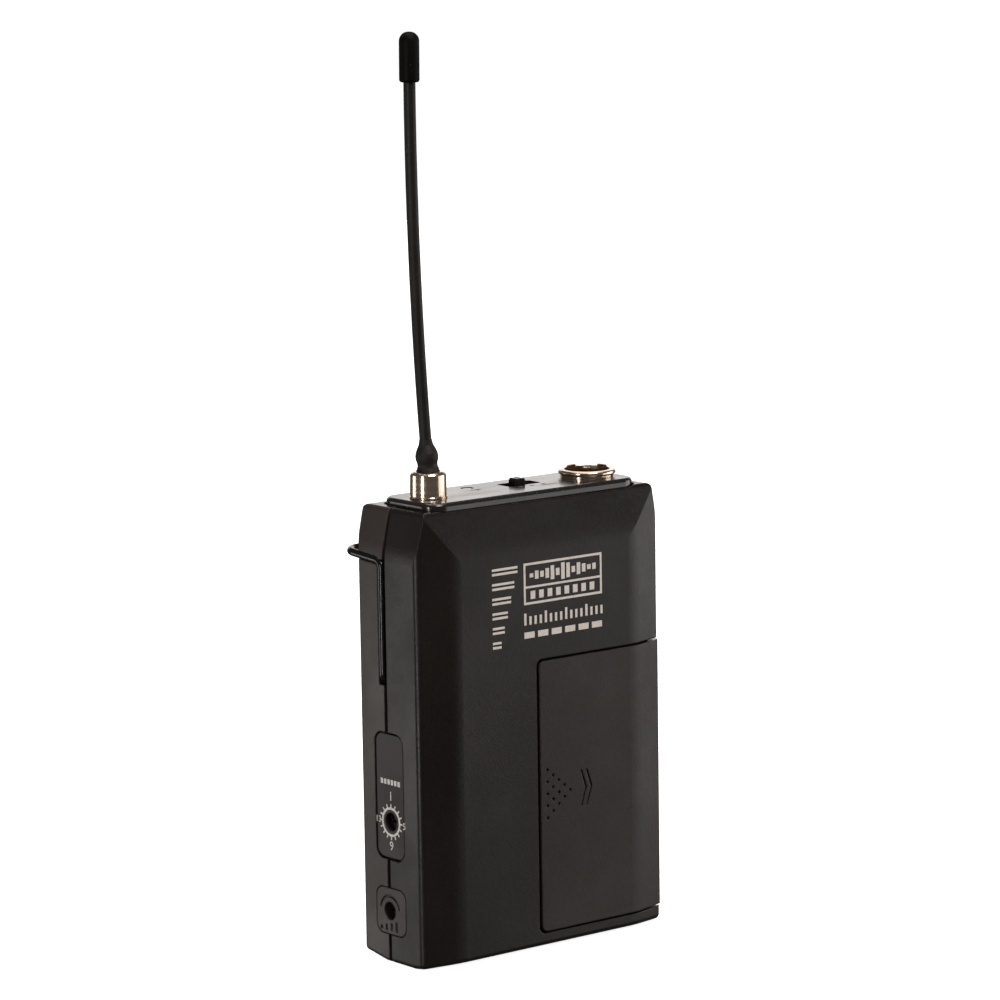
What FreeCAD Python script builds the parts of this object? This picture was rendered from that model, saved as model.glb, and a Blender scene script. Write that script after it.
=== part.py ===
"""Bodypack transmitter: a belt-worn radio pack, made as separate parts in one frame.

Units are millimetres. The origin is the middle of the case's base, X runs across the width with the
antenna on the -X side, the front face looks towards -Y, and +Z points up.
"""
import os
from math import cos, degrees, radians, sin

import FreeCAD
import Part

V = FreeCAD.Vector
X, Y, Z = V(1, 0, 0), V(0, 1, 0), V(0, 0, 1)

# Case
WIDTH = 65.4
FRONT_Y, BACK_Y = -11.0, 11.4
HEIGHT = 96.1
WALL = 1.6
FRONT_FLAT = 48.5          # width of the flat middle of the front
FACET_DEPTH = 2.3          # how far the corner facets run back
LEAN_START = 86.9          # above this the sides and the front lean inwards
LEAN_SLOPE = 0.225
LAND_FRONT, LAND_BACK = -5.5, 4.0      # flat part of the underside
FRONT_RISE, BACK_RISE = 0.8, 1.2
SEAM_Y = 2.3
SEAM_GAP = 0.95
SIDE_EDGE_R, FACET_EDGE_R = 1.5, 12.0
BACK_CORNER_R = 1.2
LEAN_EDGE_R = 14.0
TOP_EDGE_R = 1.0
FLOOR_EDGE_R = 1.1

HALF_W = WIDTH / 2

# Top plate and what stands on it
PLATE_TOP = 97.6
PLATE_X = 28.1
PLATE_FRONT, PLATE_BACK = -8.4, 9.4
PLATE_R = 4.0
PLATE_GAP = 0.4
PLATE_SKIRT_BOTTOM = 93.0
PLATE_THICK = 2.0
ANTENNA_XY = (-21.9, 0.5)
CONNECTOR_XY = (21.0, 0.5)
SWITCH_XY = (3.7, 2.3)
LED_XY = (-8.2, 4.9)

# Antenna
FERRULE_H = 5.5
FERRULE_SHOULDER = 0.6
FERRULE_R_LOW, FERRULE_R_HIGH = 3.85, 3.75
WHIP_R = 1.25
WHIP_FOOT = 9.5            # where the whip starts, inside the boot
CORE_R = 0.5
TIP_R, TIP_LENGTH = 2.1, 10.3
ANTENNA_TOP = 96.2         # above the top plate
WHIP_LEAN = -2.9           # how far the tip stands towards -X
WHIP_SAGITTA = -1.15        # how far the middle of the whip bows towards -X

# Microphone connector
RING_R, RING_BORE_R = 6.15, 4.85
NECK_R, NECK_H = 5.7, 0.6
RING_H = 1.6
LATCH_W, LATCH_POST, LATCH_H = 4.6, 2.0, 0.35
LATCH_TURN = -39           # the latch notch faces the back right corner
BARREL_R = 5.4
NUT_ACROSS = 12.0
BARREL_BOTTOM = 80.0

# Slide switch
SLOT_LENGTH, SLOT_WIDTH = 8.8, 4.5
KNOB_X, KNOB_Y = 2.8, 2.6
KNOB_OFFSET = -0.5         # it rests a little to the left of the slot's middle
KNOB_TOP = 98.85

# Battery door and bay
DOOR_LEFT = -3.05
DOOR_BOTTOM, DOOR_TOP = 3.4, 62.4
DOOR_GAP, DOOR_LEFT_GAP = 0.42, 0.7
DOOR_PROUD = 0.2
DOT_R, DOT_PITCH_X, DOT_PITCH_Z, DOT_DEPTH = 0.36, 1.55, 2.58, 0.4
DOT_X, DOT_Z = -0.6, 33.35
CHEVRON_X, CHEVRON_H = 8.4, 3.9
RAIL_FRONT, RAIL_BACK = -8.3, -6.9
RAIL_DEEP = 1.3
CELL_R, CELL_BODY, CELL_TOTAL = 7.25, 49.3, 50.5
CELL_X = (5.7, 21.1)
CELL_Y = -0.75
BAY_X0, BAY_X1 = -4.0, 30.4
BAY_Z0, BAY_Z1 = 5.6, 60.6
BAY_WALL = 1.1
BAY_FLOOR_Y = 7.5
PLATE_CONTACT_T = 0.4

# Circuit board
BOARD_Y, BOARD_T = 7.5, 1.1
BOARD_X, BOARD_Z0, BOARD_Z1 = 28.3, 8.5, 90.0
BOARD_SCREWS = [(-24.0, 14.0), (-9.0, 14.0), (-24.0, 84.0), (24.0, 84.0), (24.0, 66.0)]

# Side controls, on the -X face
LABEL = (-3.2, 6.5, 22.1, 49.2)        # y0, y1, z0, z1
LABEL_T = 1.0
LABEL_GAPS = (0.12, 0.7, 0.6, 0.35)      # front, back, bottom and top
CHANNEL_YZ = (1.2, 30.3)
CHANNEL_R = 2.0
TURN_CLEAR = 0.08           # between a turning rotor and its bore
GAIN_PAD = (-3.2, 6.6, 6.2, 16.0)
GAIN_YZ = (2.16, 11.1)
GAIN_R = 1.93

# Wire belt clip
WIRE_R = 0.85
WIRE_X = 32.2
WIRE_Y = 3.5
WIRE_CLEAR = 0.1
CLIP_END_Z = 60.0
CLIP_TOP_Z = 86.0
CLIP_BEND_Z = 85.1         # the leg's upper bend, a little below the bars
CLIP_BAR_Y = 16.3
CLIP_CORNER_R = 3.6
TONGUE_X = 12.0
TONGUE_BOTTOM = 28.0
TONGUE_NEAR_Y = 12.6


def box(x0, x1, y0, y1, z0, z1):
    """A box from its six limits."""
    return Part.makeBox(x1 - x0, y1 - y0, z1 - z0, V(x0, y0, z0))


def rod(radius, start, end):
    """A round bar between two points."""
    line = V(*end) - V(*start)
    return Part.makeCylinder(radius, line.Length, V(*start), line)


def tube(outer, inner, start, end):
    """A round tube between two points."""
    return rod(outer, start, end).cut(rod(inner, start, end))


def prism(points, direction):
    """The solid swept by a flat polygon along a direction."""
    wire = Part.makePolygon([V(*p) for p in points + points[:1]])
    return Part.Face(wire).extrude(direction)


def rounded_plate(x0, x1, y0, y1, z0, z1, radius):
    """A box whose four upright edges are rounded."""
    solid = box(x0, x1, y0, y1, z0, z1)
    return solid.makeFillet(radius, edges_along(solid, Z))


def edges_along(solid, direction):
    """The straight edges of a solid that run along a direction."""
    found = []
    for edge in solid.Edges:
        if edge.Curve.TypeId == "Part::GeomLine" and len(edge.Vertexes) == 2:
            run = edge.Vertexes[1].Point - edge.Vertexes[0].Point
            if run.normalize().cross(direction).Length < 1e-6:
                found.append(edge)
    return found


def sweep(edges, radius, start, direction):
    """A round wire swept along joined straight runs and arcs."""
    ring = Part.Wire(Part.makeCircle(radius, start, direction))
    return Part.Wire(edges).makePipeShell([ring], True, False)


def rounded_path(points, radii):
    """Straight runs through points, with an arc of the given radius at each inner point."""
    edges = []
    here = points[0]
    for before, corner, after, radius in zip(points, points[1:], points[2:], radii):
        into = (corner - before).normalize()
        out = (after - corner).normalize()
        turn = into.getAngle(out)
        back = radius * sin(turn / 2) / cos(turn / 2)
        arc_start = corner - into * back
        arc_end = corner + out * back
        middle_dir = (out - into).normalize()
        reach = radius / cos(turn / 2) - radius
        edges.append(Part.LineSegment(here, arc_start).toShape())
        edges.append(Part.Arc(arc_start, corner + middle_dir * reach, arc_end).toShape())
        here = arc_end
    edges.append(Part.LineSegment(here, points[-1]).toShape())
    return edges


def case_block(inset):
    """The case's plain form, drawn in by an inset, or grown by a negative one."""
    hw = HALF_W - inset
    flat = FRONT_FLAT / 2 - inset * 0.3
    front, back = FRONT_Y + inset, BACK_Y - inset
    shoulder = FRONT_Y + FACET_DEPTH + inset * 0.7
    outline = [(-flat, front, -1), (flat, front, -1), (hw, shoulder, -1), (hw, back, -1),
               (-hw, back, -1), (-hw, shoulder, -1)]
    block = prism(outline, Z * (HEIGHT + 2))
    upright = edges_along(block, Z)
    block = block.makeFillet(BACK_CORNER_R, [e for e in upright if e.Vertexes[0].Y > 0])
    upright = edges_along(block, Z)
    block = block.makeFillet(SIDE_EDGE_R, [e for e in upright if abs(e.Vertexes[0].X) > hw - 0.01
                                           and e.Vertexes[0].Y < 0])
    upright = edges_along(block, Z)
    block = block.makeFillet(FACET_EDGE_R, [e for e in upright if abs(e.Vertexes[0].X) < flat + 0.01])
    return block.common(side_silhouette(inset)).common(front_silhouette(inset))


def outer_case(grow=0.0):
    """The case's outside, with its top and bottom edges rounded."""
    block = case_block(-grow)
    top = [e for e in block.Edges if min(v.Z for v in e.Vertexes) > HEIGHT + grow - 0.01]
    block = block.makeFillet(TOP_EDGE_R, top)
    low = [e for e in block.Edges if lies_on_floor_edge(e, grow)]
    return block.makeFillet(FLOOR_EDGE_R, low)


def lies_on_floor_edge(edge, grow):
    """True for the edges round the underside, and not for those across it."""
    middle = edge.valueAt((edge.FirstParameter + edge.LastParameter) / 2)
    ends = [v.Point for v in edge.Vertexes]
    outside = (abs(middle.x) > HALF_W + grow - 2.2 or middle.y < FRONT_Y - grow + 0.9
               or middle.y > BACK_Y + grow - 0.5)
    return outside and max(p.z for p in ends) < BACK_RISE + 0.3


def side_silhouette(inset):
    """The case seen from the side: upright front that leans back at the top, sloped underside."""
    front, back = FRONT_Y + inset, BACK_Y - inset
    top = HEIGHT - inset
    recede = front + (top - LEAN_START) * LEAN_SLOPE
    outline = [(-50, front, FRONT_RISE + inset), (-50, front, LEAN_START), (-50, recede, top),
               (-50, back, top), (-50, back, BACK_RISE + inset), (-50, LAND_BACK, inset),
               (-50, LAND_FRONT, inset)]
    block = prism(outline, X * 100)
    knee = [e for e in edges_along(block, X) if abs(e.Vertexes[0].Z - LEAN_START) < 0.01]
    return block.makeFillet(LEAN_EDGE_R, knee)


def front_silhouette(inset):
    """The case seen from the front: upright sides that lean inwards at the top."""
    hw = HALF_W - inset
    top = HEIGHT - inset
    top_hw = hw - (top - LEAN_START) * LEAN_SLOPE
    outline = [(-hw, -20, -2), (hw, -20, -2), (hw, -20, LEAN_START),
               (top_hw, -20, top), (-top_hw, -20, top), (-hw, -20, LEAN_START)]
    block = prism(outline, Y * 40)
    knees = [e for e in edges_along(block, Y) if abs(e.Vertexes[0].Z - LEAN_START) < 0.01]
    return block.makeFillet(LEAN_EDGE_R, knees)


def plate_outline(grow, z0, z1):
    """The top plate's rounded outline, grown by a gap."""
    return rounded_plate(-PLATE_X - grow, PLATE_X + grow, PLATE_FRONT - grow, PLATE_BACK + grow,
                         z0, z1, PLATE_R)


def label_cut():
    """The recess for the side label, through the seam."""
    y0, y1, z0, z1 = LABEL
    cut = box(-HALF_W - 1, -HALF_W + LABEL_T, y0, y1, z0, z1)
    return cut.makeFillet(2.5, edges_along(cut, X))


def gain_pad(grow, x_in):
    """The rounded pad that carries the gain hole."""
    y0, y1, z0, z1 = GAIN_PAD
    pad = box(-HALF_W, -HALF_W + x_in, y0 - grow, y1 + grow, z0 - grow, z1 + grow)
    return pad.makeFillet(2.2, edges_along(pad, X))


def clip_channels():
    """The recesses at both sides that hold the legs of the wire clip."""
    cuts = []
    half = WIRE_R + WIRE_CLEAR
    for side in (-1, 1):
        x0, x1 = sorted((side * (HALF_W + 1), side * (WIRE_X - half - 0.6)))
        cuts.append(box(x0, x1, SEAM_Y, WIRE_Y + half, CLIP_END_Z - half, CLIP_BEND_Z + 0.4))
        cuts.append(clip_leg(side, half))
    return cuts


def clip_pockets():
    """The inner walls that close the clip's recesses."""
    walls = []
    for side in (-1, 1):
        x0, x1 = sorted((side * (HALF_W - 0.4), side * (WIRE_X - WIRE_R - 1.9)))
        wall = box(x0, x1, SEAM_Y + SEAM_GAP / 2, BACK_Y - 0.5, CLIP_END_Z - 3.5, CLIP_TOP_Z + 2.2)
        walls.append(wall.common(case_block(0.0)))
    return walls


def door_zone(grow):
    """The opening for the battery door, wrapped round the +X side to the seam."""
    zone = box(DOOR_LEFT - grow, HALF_W + 1, FRONT_Y - 1, SEAM_Y, DOOR_BOTTOM - grow,
               DOOR_TOP + grow)
    left = [e for e in edges_along(zone, Y) if e.Vertexes[0].X < 0]
    return zone.makeFillet(1.5, left)


def rails():
    """Guide rails above and below the door, joined to the front shell."""
    solids = []
    for edge, away in ((DOOR_TOP, 1), (DOOR_BOTTOM, -1)):
        z0, z1 = sorted((edge, edge + away * (RAIL_DEEP + 1.1)))
        body = box(DOOR_LEFT - 1.6, HALF_W - 1.0, FRONT_Y + 1.2, RAIL_BACK + 1.0, z0, z1)
        solids.append(body.common(case_block(0.8)))
    return solids


def rail_grooves():
    """The grooves in the rails, open at the +X end so that the door slides out."""
    cuts = []
    for edge, away in ((DOOR_TOP, 1), (DOOR_BOTTOM, -1)):
        z0, z1 = sorted((edge - away * 0.5, edge + away * RAIL_DEEP))
        cuts.append(box(DOOR_LEFT - 1.0, HALF_W + 1, RAIL_FRONT, RAIL_BACK, z0, z1))
    return cuts


def control_holes():
    """The screwdriver holes through the -X wall."""
    y, z = CHANNEL_YZ
    holes = [rod(CHANNEL_R + 0.25, (-HALF_W - 1, y, z), (-HALF_W + 3, y, z))]
    y, z = GAIN_YZ
    holes.append(rod(GAIN_R, (-HALF_W - 1, y, z), (-HALF_W + 3, y, z)))
    return holes


def front_shell():
    shell = outer_case().cut(case_block(WALL))
    front = box(-50, 50, -20, SEAM_Y - SEAM_GAP / 2, -5, 120)
    shell = shell.common(front).cut(gain_pad(0.15, 3.0)).cut(door_zone(0.0))
    shell = shell.cut(plate_outline(PLATE_GAP, PLATE_SKIRT_BOTTOM - 1, 110)).cut(label_cut())
    shell = shell.cut(plate_tabs(0.05)).fuse(rails()).cut(rail_grooves()).cut(door_sweep_clear())
    return shell.cut(control_holes()).removeSplitter()


def door_sweep_clear():
    """Room behind the shell's left edge for the door's lip."""
    return box(DOOR_LEFT - 1.9, DOOR_LEFT + 0.5, FRONT_Y + WALL, RAIL_BACK + 1.2,
               DOOR_BOTTOM + 2.5, DOOR_TOP - 2.5)


def rear_shell():
    shell = outer_case().cut(case_block(WALL))
    rear = box(-50, 50, SEAM_Y + SEAM_GAP / 2, 30, -5, 120)
    shell = shell.common(rear).fuse(seam_lip()).fuse(clip_pockets()).cut(clip_channels())
    shell = shell.fuse(screw_bosses())
    shell = shell.cut(plate_outline(PLATE_GAP, PLATE_SKIRT_BOTTOM - 1, 110)).cut(label_cut())
    shell = shell.cut(gain_pad(0.15, 3.0)).cut(control_holes()).cut(screw_holes())
    shell = shell.cut(plate_tabs(0.05))
    for side in (-1, 1):
        hole = rod(WIRE_R + WIRE_CLEAR, (side * WIRE_X, WIRE_Y, CLIP_END_Z),
                   (side * (WIRE_X - 4.5), WIRE_Y, CLIP_END_Z))
        shell = shell.cut(hole)
    return shell.removeSplitter()


def seam_lip():
    """A lip inside the rear shell that reaches across the seam, left out at the bay and selector."""
    lip = case_block(WALL).cut(case_block(WALL + 0.8))
    lip = lip.common(box(-50, 50, SEAM_Y - 1.4, SEAM_Y + 1.6, -5, 120))
    lip = lip.cut(box(BAY_X1 - 1, 50, -20, SEAM_Y + 3, DOOR_BOTTOM - 4, DOOR_TOP + 4))
    z = CHANNEL_YZ[1]
    return lip.cut(box(-50, -25, -20, SEAM_Y + 3, z - 5.2, z + 5.2))


def screw_bosses():
    """Bosses inside the back: one for each board screw."""
    bosses = []
    for x, z in BOARD_SCREWS:
        bosses.append(rod(2.3, (x, BOARD_Y + BOARD_T, z), (x, BACK_Y - 0.5, z)))
    return bosses


def screw_holes():
    """Threaded holes for the board screws, blind from the inside."""
    return [rod(0.8, (x, BOARD_Y, z), (x, BACK_Y - 0.7, z)) for x, z in BOARD_SCREWS]


def board_screws():
    screws = []
    for x, z in BOARD_SCREWS:
        head = rod(1.7, (x, BOARD_Y - 1.1, z), (x, BOARD_Y, z))
        slot = box(x - 0.25, x + 0.25, BOARD_Y - 1.2, BOARD_Y - 0.6, z - 1.2, z + 1.2)
        shank = rod(0.8, (x, BOARD_Y, z), (x, BACK_Y - 1.0, z))
        screws.append(head.fuse(shank).cut(slot))
    return Part.makeCompound(screws)


def gain_insert():
    """The separate pad round the gain hole, set in both shells, with its pressed marks."""
    y, z = GAIN_YZ
    pad = gain_pad(0.0, 2.2).cut(rod(GAIN_R, (-HALF_W - 1, y, z), (-HALF_W + 4, y, z)))
    x0, x1 = -HALF_W - 0.1, -HALF_W + 0.3
    ring = tube(3.4, 2.95, (x0, y, z), (x1, y, z))
    ring = ring.cut(box(x0 - 1, x1 + 1, y - 5, y + 5, z - 5, z + 0.6))
    bars = [box(x0, x1, y + 2.6 - 1.7 * i, y + 3.3 - 1.7 * i, z - 4.2, z - 3.5 + 0.45 * i)
            for i in range(4)]
    return pad.cut(ring).cut(bars)


def channel_label():
    """The label panel beside the channel selector."""
    y0, y1, z0, z1 = LABEL
    front, back, bottom, top = LABEL_GAPS
    panel = box(-HALF_W, -HALF_W + LABEL_T, y0 + front, y1 - back, z0 + bottom, z1 - top)
    panel = panel.makeFillet(2.0, edges_along(panel, X))
    y, z = CHANNEL_YZ
    return panel.cut(rod(CHANNEL_R, (-HALF_W - 1, y, z), (-HALF_W + 1, y, z)))


def battery_door():
    """The sliding door: front plate, wrapped side, lip on the left, tongues above and below."""
    zone = box(DOOR_LEFT + DOOR_LEFT_GAP, 50, -30, SEAM_Y - SEAM_GAP / 2,
               DOOR_BOTTOM + DOOR_GAP, DOOR_TOP - DOOR_GAP)
    zone = zone.makeFillet(1.3, [e for e in edges_along(zone, Y) if e.Vertexes[0].X < 0])
    skin = outer_case(DOOR_PROUD).cut(case_block(WALL)).common(zone)
    inner_front = FRONT_Y + WALL
    pieces = [box(DOOR_LEFT - 1.3, DOOR_LEFT + 0.6, inner_front + 0.3, inner_front + 1.0,
                  DOOR_BOTTOM + 4, DOOR_TOP - 4),
              box(DOOR_LEFT + 0.6, DOOR_LEFT + 2.6, inner_front - 0.4, inner_front + 1.0,
                  DOOR_BOTTOM + 4, DOOR_TOP - 4)]
    for edge, away in ((DOOR_TOP, 1), (DOOR_BOTTOM, -1)):
        near, far = edge - away * 1.4, edge - away * DOOR_GAP
        z0, z1 = sorted((near, far))
        flange = box(DOOR_LEFT + 2.0, HALF_W - 2.5, FRONT_Y + 1.0, RAIL_BACK - 0.3, z0, z1)
        flange = flange.common(case_block(0.5))
        z0, z1 = sorted((near, edge + away * (RAIL_DEEP - 0.4)))
        tongue = box(DOOR_LEFT + 2.0, HALF_W - 2.5, RAIL_FRONT + 0.3, RAIL_BACK - 0.3, z0, z1)
        pieces += [flange, tongue]
    door = skin.fuse(pieces).removeSplitter()
    return door.cut(door_dots()).cut(door_chevrons())


def door_dots():
    """The pressed dots: a triangle that points the way the door slides."""
    face = FRONT_Y - DOOR_PROUD
    dots = []
    for column in range(5):
        rows = 5 - column
        x = DOT_X + column * DOT_PITCH_X
        for row in range(rows):
            z = DOT_Z + (row - (rows - 1) / 2) * DOT_PITCH_Z
            dots.append(rod(DOT_R, (x, face - 0.1, z), (x, face + DOT_DEPTH, z)))
    return dots


def door_chevrons():
    """Two pressed chevrons beside the dots, pointing the same way."""
    face = FRONT_Y - DOOR_PROUD
    cuts = []
    for x in (CHEVRON_X, CHEVRON_X + 1.5):
        tip, arm, stroke = x + 1.3, CHEVRON_H, 0.5
        outline = [(x, DOT_Z + arm), (tip, DOT_Z), (x, DOT_Z - arm), (x + stroke, DOT_Z - arm),
                   (tip + stroke, DOT_Z), (x + stroke, DOT_Z + arm)]
        cuts.append(prism([(a, face - 0.1, b) for a, b in outline], Y * (DOT_DEPTH + 0.1)))
    return cuts


def battery_tray():
    """The bay for two AA cells, open to the front."""
    outer = box(BAY_X0, BAY_X1, RAIL_BACK + 1.3, BAY_FLOOR_Y, BAY_Z0, BAY_Z1)
    inner = box(BAY_X0 + BAY_WALL, BAY_X1 - BAY_WALL, -30, BAY_FLOOR_Y - 0.9,
                BAY_Z0 + BAY_WALL, BAY_Z1 - BAY_WALL)
    middle = sum(CELL_X) / 2
    rib = box(middle - 0.35, middle + 0.35, 3.0, BAY_FLOOR_Y - 0.5, BAY_Z0 + 1, BAY_Z1 - 1)
    corner = box(BAY_X1 - 1.6, BAY_X1 + 1, 1.4, 20, CLIP_END_Z - 4.0, BAY_Z1 + 1)
    return outer.cut(inner).fuse(rib).cut(corner).removeSplitter()


def cell(x, up):
    """One AA cell with its raised positive cap at the top, or at the bottom."""
    can = rod(CELL_R, (x, CELL_Y, 0), (x, CELL_Y, CELL_BODY))
    can = can.makeFillet(0.6, [e for e in can.Edges if e.Curve.TypeId == "Part::GeomCircle"])
    cap = rod(2.7, (x, CELL_Y, CELL_BODY - 0.1), (x, CELL_Y, CELL_TOTAL))
    solid = can.fuse(cap)
    if up:
        solid.translate(V(0, 0, BAY_Z1 - BAY_WALL - PLATE_CONTACT_T - CELL_TOTAL))
    else:
        solid.rotate(V(x, CELL_Y, CELL_TOTAL / 2), X, 180)
        solid.translate(V(0, 0, BAY_Z0 + BAY_WALL + PLATE_CONTACT_T))
    return solid


def coil_spring(x, z_low):
    """The negative contact: a cone of three wire turns between the bay's end wall and a cell."""
    wire, step = 0.22, 0.68
    turns = [(3.6, 0), (2.9, 1), (2.2, 2)]
    coil = None
    for radius, level in turns:
        ring = Part.makeTorus(radius, wire, V(x, CELL_Y, z_low + wire + 0.03 + level * step))
        coil = ring if coil is None else coil.fuse(ring)
    for (r0, n0), (r1, n1) in zip(turns, turns[1:]):
        foot = (x + r0, CELL_Y, z_low + wire + 0.03 + n0 * step)
        head = (x + r1, CELL_Y, z_low + wire + 0.03 + n1 * step)
        coil = coil.fuse(rod(wire * 0.8, foot, head))
    return coil


def contact_springs():
    """Both negative coils."""
    low = coil_spring(CELL_X[0], BAY_Z0 + BAY_WALL)
    high = coil_spring(CELL_X[1], BAY_Z0 + BAY_WALL + PLATE_CONTACT_T + CELL_TOTAL)
    return Part.makeCompound([low, high])


def contact_plates():
    """Both positive plates, on the end walls opposite the coils."""
    plates = []
    for x, z0 in ((CELL_X[0], BAY_Z1 - BAY_WALL - PLATE_CONTACT_T), (CELL_X[1], BAY_Z0 + BAY_WALL)):
        plates.append(box(x - 3.5, x + 3.5, CELL_Y - 3.5, CELL_Y + 3.5, z0, z0 + PLATE_CONTACT_T))
    return Part.makeCompound(plates)


def main_board():
    board = box(-BOARD_X, BOARD_X, BOARD_Y, BOARD_Y + BOARD_T, BOARD_Z0, BOARD_Z1)
    for x, z in BOARD_SCREWS:
        board = board.cut(rod(1.0, (x, BOARD_Y - 1, z), (x, BOARD_Y + 3, z)))
    return board


def rf_shield():
    """The screening can over the radio section."""
    outer = box(-27.0, -6.0, 2.8, BOARD_Y, 60.0, 80.0)
    outer = outer.makeFillet(0.8, edges_along(outer, Y))
    return outer.cut(box(-26.6, -6.4, 3.2, BOARD_Y + 1, 60.4, 79.6))


def board_parts():
    """The processor, the compander chip, a power coil, two capacitors and a crystal."""
    chips = [box(-22, -15, BOARD_Y - 1.2, BOARD_Y, 49, 56), box(2, 9, BOARD_Y - 1.2, BOARD_Y, 64, 69),
             box(12, 17, BOARD_Y - 2.4, BOARD_Y, 64, 69), box(-12, -7, BOARD_Y - 1.1, BOARD_Y, 52, 55)]
    for x in (-10.5, -6.5):
        chips.append(rod(1.6, (x, BOARD_Y - 3.6, 43), (x, BOARD_Y, 43)))
    return Part.makeCompound(chips)


def control_body(yz, size, x0, bore_r):
    """The square housing of a rotary control, between the -X wall and the board."""
    y, z = yz
    half = size / 2
    body = box(x0, x0 + 6.0, y - half, y + half, z - half, z + half)
    bore = rod(bore_r, (x0 - 1, y, z), (x0 + 3.2, y, z))
    pins = [box(x0 + 1.6 + 2.2 * i, x0 + 2.1 + 2.2 * i, y + half - 0.1, BOARD_Y, z - 0.3, z + 0.3)
            for i in range(2)]
    return body.cut(bore).fuse(pins)


def channel_switch():
    return control_body(CHANNEL_YZ, 9.6, -HALF_W + WALL + 0.2, CHANNEL_R)


def gain_pot():
    return control_body(GAIN_YZ, 8.0, -HALF_W + 2.2 + 0.2, GAIN_R)


def rotor(yz, x0, radius, slot_w):
    """A screwdriver-slotted rotor that turns in its control."""
    y, z = yz
    body = rod(radius, (x0, y, z), (x0 + 3.6, y, z))
    slot = box(x0 - 1, x0 + 0.7, y - radius, y + radius, z - slot_w / 2, z + slot_w / 2)
    return body.cut(slot)


def channel_rotor():
    """The channel selector's rotor, with an arrow-like pointer notch beside the slot."""
    y, z = CHANNEL_YZ
    body = rotor(CHANNEL_YZ, -HALF_W + 1.2, CHANNEL_R - TURN_CLEAR, 0.7)
    return body.cut(box(-HALF_W + 1, -HALF_W + 1.6, y + 0.6, y + 1.3, z, z + 1.1))


def gain_rotor():
    return rotor(GAIN_YZ, -HALF_W + 1.4, GAIN_R - TURN_CLEAR, 0.6)


def top_plate():
    """The glossy plate that carries the antenna, lamp, switch and connector."""
    plate = plate_outline(0.0, PLATE_SKIRT_BOTTOM, PLATE_TOP)
    rim = [e for e in plate.Edges if min(v.Z for v in e.Vertexes) > PLATE_TOP - 0.1]
    plate = plate.makeFillet(0.8, rim)
    hollow = rounded_plate(-PLATE_X + 1.2, PLATE_X - 1.2, PLATE_FRONT + 1.2, PLATE_BACK - 1.2,
                           PLATE_SKIRT_BOTTOM - 1, PLATE_TOP - PLATE_THICK, PLATE_R - 1.2)
    plate = plate.cut(hollow).fuse(plate_tabs(0.0))
    x, y = ANTENNA_XY
    holes = [rod(2.0, (x, y, 90), (x, y, 100))]
    x, y = CONNECTOR_XY
    holes.append(rod(BARREL_R, (x, y, 90), (x, y, 100)))
    holes.append(box(x, x + NUT_ACROSS / 2 + 0.15, y - 4, y + 4,
                     PLATE_SKIRT_BOTTOM - 1, PLATE_TOP - PLATE_THICK))
    x, y = LED_XY
    holes.append(rod(1.4, (x, y, 90), (x, y, 100)))
    holes.append(switch_slot(SLOT_LENGTH, SLOT_WIDTH, 90, 100))
    return plate.cut(holes)


def plate_tabs(grow):
    """The snap tabs at the foot of the top plate, or the pockets that hold them."""
    z0 = PLATE_SKIRT_BOTTOM
    tabs = []
    for x in (-18, 8):
        for y0, y1 in ((PLATE_FRONT - 0.6, PLATE_FRONT + 0.5), (PLATE_BACK - 0.5, PLATE_BACK + 0.6)):
            tabs.append(box(x - grow, x + 8 + grow, y0 - grow, y1 + grow, z0 - grow, z0 + 0.9 + grow))
    return tabs


def switch_slot(length, width, z0, z1):
    """The slide switch's opening."""
    x, y = SWITCH_XY
    return rounded_plate(x - length / 2, x + length / 2, y - width / 2, y + width / 2, z0, z1, 0.8)


def switch_body():
    """The slide switch under the top plate, with a raised bed inside its slot."""
    x, y = SWITCH_XY
    body = box(x - 6.5, x + 6.5, y - 3.2, y + 3.2, 90.0, PLATE_TOP - PLATE_THICK)
    bed = switch_slot(SLOT_LENGTH - 0.1, SLOT_WIDTH - 0.1, PLATE_TOP - PLATE_THICK, PLATE_TOP - 1.1)
    track = box(x - 3.6, x + 3.6, y - 0.8, y + 0.8, 92.0, 100)
    return body.fuse(bed).cut(track)


def switch_knob():
    """The sliding knob: a ribbed cap on a narrow stem."""
    x, y = SWITCH_XY[0] + KNOB_OFFSET, SWITCH_XY[1]
    cap = box(x - KNOB_X / 2, x + KNOB_X / 2, y - KNOB_Y / 2, y + KNOB_Y / 2,
              PLATE_TOP - 1.0, KNOB_TOP)
    cap = cap.makeFillet(0.4, edges_along(cap, Z))
    for step in (-1.2, 0, 1.2):
        cap = cap.cut(box(x + step - 0.2, x + step + 0.2, y - 3, y + 3, KNOB_TOP - 0.3, KNOB_TOP + 1))
    stem = box(x - 1.2, x + 1.2, y - 0.6, y + 0.6, 92.4, PLATE_TOP - 0.9)
    return cap.fuse(stem)


def led_lens():
    x, y = LED_XY
    lens = rod(1.35, (x, y, 92.0), (x, y, PLATE_TOP - 0.1))
    top = [e for e in lens.Edges if min(v.Z for v in e.Vertexes) > PLATE_TOP - 0.2]
    lens = lens.makeFillet(0.5, top)
    return lens.fuse(rod(1.8, (x, y, 91.2), (x, y, 92.0)))


def top_board():
    """The small board under the plate that carries the lamp and the switch."""
    board = box(-14.5, 12.0, -5.5, 6.3, 89.0, 90.0)
    return board


def led_base():
    x, y = LED_XY
    return rod(1.8, (x, y, 90.0), (x, y, 91.2))


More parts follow.
